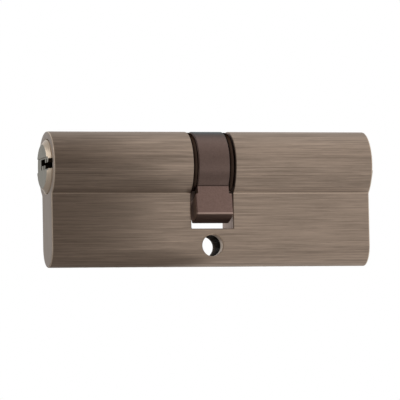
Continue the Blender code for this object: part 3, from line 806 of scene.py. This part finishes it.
def cam_face(centre, normal):
    """The material of the ring, of a side in painted light, or of the lever in painted light, its tip
    in painted shade or its edges in a painted highlight.
    """
    if abs(normal.x) > 0.9:
        return CAM_SIDE_LIT
    out = Vector((0, centre.y, centre.z - AXIS_Z))
    if out.length < RING_RADIUS * 1.02:
        return CAM
    facing = out.normalized().dot(normal)
    if out.length > LEVER_RADIUS - LEVER_BEVEL and facing > 0.3:
        return CAM_TIP_SHADE if facing > 0.9 else CAM_EDGE_HIGHLIGHT
    return CAM_LEVER_LIT


# Pin stacks


def make_pin_stack(side, number):
    """Key pin, driver pin, spring and chamber plug, each where its CAD node is."""
    suffix = f"{side}_{number}"

    def turned(node, body, slot, material, profile_of):
        """A turned piece from profile_of(lowest z, highest z), in its node's place."""
        low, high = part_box(node)
        place = Matrix.Translation(((low.x + high.x) / 2, 0, 0))
        profile = softened(profile_of(low.z, high.z), TURNED_EDGE)
        piece = lathe(f"{node}_fine", profile, PIN_STEPS, place)
        if slot == "stopper":
            combine(piece, foot_round(low.x, high.x), "INTERSECT")
        piece.data.materials.append(material)
        place_piece(piece, body, node)

    def key_pin_profile(foot, tip):
        shoulder = tip - TIP_LENGTH
        return [
            (0, tip),
            (TIP_RADIUS / 2, tip),
            (TIP_RADIUS, tip - TIP_RADIUS / 2),
            (TIP_RADIUS, shoulder),
            (PIN_RADIUS, shoulder),
            (PIN_RADIUS, foot + PIN_CHAMFER),
            (PIN_RADIUS - 2 * PIN_CHAMFER, foot),
            (0, foot),
        ]

    def driver_profile(foot, top):
        length = top - foot
        return [
            (0, top),
            (PIN_RADIUS - PIN_CHAMFER, top),
            (PIN_RADIUS, top - PIN_CHAMFER),
            (PIN_RADIUS, top - length / 4),
            (WAIST_RADIUS, top - length / 4 - PIN_CHAMFER),
            (WAIST_RADIUS, top - length / 2 + PIN_CHAMFER),
            (PIN_RADIUS, top - length / 2),
            (PIN_RADIUS, foot + PIN_CHAMFER),
            (PIN_RADIUS - PIN_CHAMFER, foot),
            (0, foot),
        ]

    def stopper_profile(foot, top):
        return [
            (0, top),
            (STOPPER_RADIUS - PIN_CHAMFER, top),
            (STOPPER_RADIUS, top - PIN_CHAMFER),
            (STOPPER_RADIUS, foot - OVERCUT),
            (0, foot - OVERCUT),
        ]

    key_pin = f"key_pin_{suffix}"
    driver = f"driver_pin_{suffix}"
    turned(key_pin, key_pin, "pin", BRASS, key_pin_profile)
    turned(driver, driver, "driver", STEEL, driver_profile)
    turned(f"chamber_plug_{suffix}", "housing", "stopper", BODY, stopper_profile)
    make_spring(suffix)


def foot_round(start_x, end_x):
    """A rod along X that the foot's bottom wraps, which a chamber plug is milled flush to."""
    radius = FOOT_HALF - MILLED_BELOW
    low = start_x - OVERCUT
    high = end_x + OVERCUT
    profile = [(0, high), (radius, high), (radius, low), (0, low)]
    centre = Matrix.Translation((0, 0, HOUSING_LOW.z + FOOT_HALF))
    return lathe("foot_round", profile, 2 * FOOT_STEPS, centre @ ALONG_X)


def make_spring(suffix):
    """A coil with its end turns closed up, which the driver pin shortens."""
    node = f"spring_{suffix}"
    low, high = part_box(node)
    centre_x = (low.x + high.x) / 2
    count = SPRING_TURNS * SPRING_STEPS
    radius = PIN_RADIUS - WIRE_RADIUS
    dead = 1 / SPRING_TURNS  # share of the coil that each closed end takes
    open_rise = high.z - low.z - 2 * WIRE_RADIUS - 2 * SPRING_END_RISE
    bm = bmesh.new()
    rings = []
    for i in range(count + 1):
        share = i / count
        closed = min(share / dead, 1) + 1 - min((1 - share) / dead, 1)
        middle = min(max((share - dead) / (1 - 2 * dead), 0), 1)
        z = low.z + WIRE_RADIUS + SPRING_END_RISE * closed + open_rise * middle
        angle = 2 * math.pi * i / SPRING_STEPS
        out = Vector((math.cos(angle), math.sin(angle), 0))
        centre = Vector((centre_x, 0, z)) + out * radius
        wire = arc(WIRE_RADIUS, 0, 2 * math.pi, WIRE_STEPS)[:-1]
        rings.append([bm.verts.new(centre + out * a + Vector((0, 0, b))) for a, b in wire])
    for first, second in zip(rings, rings[1:]):
        for i in range(len(first)):
            bm.faces.new((first[i - 1], first[i], second[i], second[i - 1]))
    bm.faces.new(rings[0])
    bm.faces.new(rings[-1])
    spring = new_object(f"{node}_fine", bm)
    spring.data.materials.append(SPRING)
    place_piece(spring, "housing", node)
    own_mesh(spring)


# Studio

WHITE = (1.0, 1.0, 1.0)
ROOM_LOW = (0.12, 0.104, 0.093)  # the world's colour low down, and high up the next one
ROOM_HIGH = (0.30, 0.266, 0.243)
ROOM_HEIGHTS = (-0.7, 1.0)
BACKDROP_SIDE = (0.45, 0.7, 0.35)
BACKDROP_EDGES = (-0.3, 1.1)  # dot products with that side between which it fades in
FLOOR_Z = -0.062
FLOOR_RADIUS = 0.9
FLOOR_GREY = 0.75
FLOOR_FADE = (0.12, FLOOR_RADIUS * 0.9)  # distances over which the floor turns white
SOFTBOX_LIFT = 0.002
SOFTBOXES = {  # centre, point it faces, size, radiance
    "front_right": ((0.150, -0.150, 0.03), (0.150, 0.0, 0.03), (0.26, 0.17), 0.80),
    "floor_right": (
        (0.154, 0.030, FLOOR_Z + SOFTBOX_LIFT),
        (0.154, 0.030, 0.0),
        (0.28, 0.21),
        0.62,
    ),
    "top_right": ((0.150, -0.080, 0.15), (0.150, -0.080, 0.0), (0.28, 0.22), 0.72),
    "left_end": ((-0.28, 0.08, 0.085), (-0.04, 0.0, 0.02), (0.24, 0.20), 1.8),
}
CAMERA_PLACE = (-0.2481, -0.8990, -0.0478)
CAMERA_TARGET = (-0.00167, 0.0, 0.01135)
CAMERA_ROLL = math.radians(-1.09)
CAMERA_LENS = 344.5


def make_world():
    """White behind the object for the camera; the metal sees it on the right and behind."""
    world = bpy.data.worlds.new("studio")
    bpy.context.scene.world = world
    world.use_nodes = True
    tree = world.node_tree
    tree.nodes.clear()
    direction = tree.nodes.new("ShaderNodeTexCoord").outputs["Generated"]
    lean = tree.nodes.new("ShaderNodeVectorMath")
    lean.operation = "DOT_PRODUCT"
    lean.inputs[1].default_value = Vector(BACKDROP_SIDE).normalized()
    tree.links.new(direction, lean.inputs[0])
    share = mapped(tree, lean.outputs["Value"], *BACKDROP_EDGES)
    share.node.interpolation_type = "SMOOTHSTEP"
    light_path = tree.nodes.new("ShaderNodeLightPath")
    mirrored = calculated(
        tree,
        "ADD",
        light_path.outputs["Is Glossy Ray"],
        light_path.outputs["Is Transmission Ray"],
    )
    mirrored.node.use_clamp = True
    seen = calculated(tree, "MULTIPLY", mirrored, share)
    backdrop = calculated(tree, "ADD", light_path.outputs["Is Camera Ray"], seen)
    backdrop.node.use_clamp = True
    height = tree.nodes.new("ShaderNodeSeparateXYZ")
    tree.links.new(direction, height.inputs[0])
    room = blended(tree, mapped(tree, height.outputs["Z"], *ROOM_HEIGHTS), ROOM_LOW, ROOM_HIGH)
    background = tree.nodes.new("ShaderNodeBackground")
    tree.links.new(blended(tree, backdrop, room, WHITE), background.inputs["Color"])
    output = tree.nodes.new("ShaderNodeOutputWorld")
    tree.links.new(background.outputs["Background"], output.inputs["Surface"])
    world.cycles.sampling_method = "NONE"


def make_softbox(name, centre, target, size, radiance):
    """A soft rectangular light that shows the given radiance in a mirror."""
    data = bpy.data.lights.new(name, "AREA")
    data.shape = "RECTANGLE"
    data.size, data.size_y = size
    data.energy = radiance * math.pi * size[0] * size[1]
    light = bpy.data.objects.new(name, data)
    bpy.context.scene.collection.objects.link(light)
    light.location = centre
    light.rotation_euler = (Vector(target) - Vector(centre)).to_track_quat("-Z", "Y").to_euler()
    light.visible_camera = False


def make_floor():
    """A pale floor that turns white at a distance."""
    bm = bmesh.new()
    bmesh.ops.create_circle(bm, cap_ends=True, segments=96, radius=FLOOR_RADIUS)
    floor = new_object("floor", bm, Matrix.Translation((0, 0, FLOOR_Z)))
    material = bpy.data.materials.new("pale_floor")
    material.use_nodes = True
    tree = material.node_tree
    shader = tree.nodes["Principled BSDF"]
    shader.inputs["Base Color"].default_value = (FLOOR_GREY, FLOOR_GREY, FLOOR_GREY, 1.0)
    shader.inputs["Roughness"].default_value = 0.9
    shader.inputs["Specular IOR Level"].default_value = 0.1
    white = tree.nodes.new("ShaderNodeEmission")
    mix = tree.nodes.new("ShaderNodeMixShader")
    coordinates = tree.nodes.new("ShaderNodeTexCoord").outputs["Object"]
    distance = tree.nodes.new("ShaderNodeVectorMath")
    distance.operation = "LENGTH"
    tree.links.new(coordinates, distance.inputs[0])
    far = mapped(tree, distance.outputs["Value"], *FLOOR_FADE)
    far.node.interpolation_type = "SMOOTHSTEP"
    tree.links.new(far, mix.inputs["Fac"])
    tree.links.new(shader.outputs["BSDF"], mix.inputs[1])
    tree.links.new(white.outputs["Emission"], mix.inputs[2])
    tree.links.new(mix.outputs["Shader"], tree.nodes["Material Output"].inputs["Surface"])
    floor.data.materials.append(material)


def make_camera():
    """The view of the photograph."""
    location = Vector(CAMERA_PLACE)
    forward = (Vector(CAMERA_TARGET) - location).normalized()
    right = forward.cross(Vector((0, 0, 1))).normalized()
    up = right.cross(forward)
    cosine = math.cos(CAMERA_ROLL)
    sine = math.sin(CAMERA_ROLL)
    right, up = cosine * right + sine * up, cosine * up - sine * right
    data = bpy.data.cameras.new("camera")
    data.lens = CAMERA_LENS
    data.sensor_width = 36.0
    data.clip_start = 0.01
    camera = bpy.data.objects.new("camera", data)
    bpy.context.scene.collection.objects.link(camera)
    turn = Matrix((right, up, -forward)).transposed().to_4x4()
    camera.matrix_world = Matrix.Translation(location) @ turn
    bpy.context.scene.camera = camera


def main():
    make_housing()
    make_cam()
    for side in SIDES:
        make_plug(side)
        make_clip(side)
        make_clutch(side)
        for number in STACKS:
            make_pin_stack(side, number)
    make_world()
    make_floor()
    for name, (centre, target, size, radiance) in SOFTBOXES.items():
        make_softbox(name, centre, target, size, radiance)
    make_camera()
    bpy.context.scene.view_settings.view_transform = "Standard"


main()
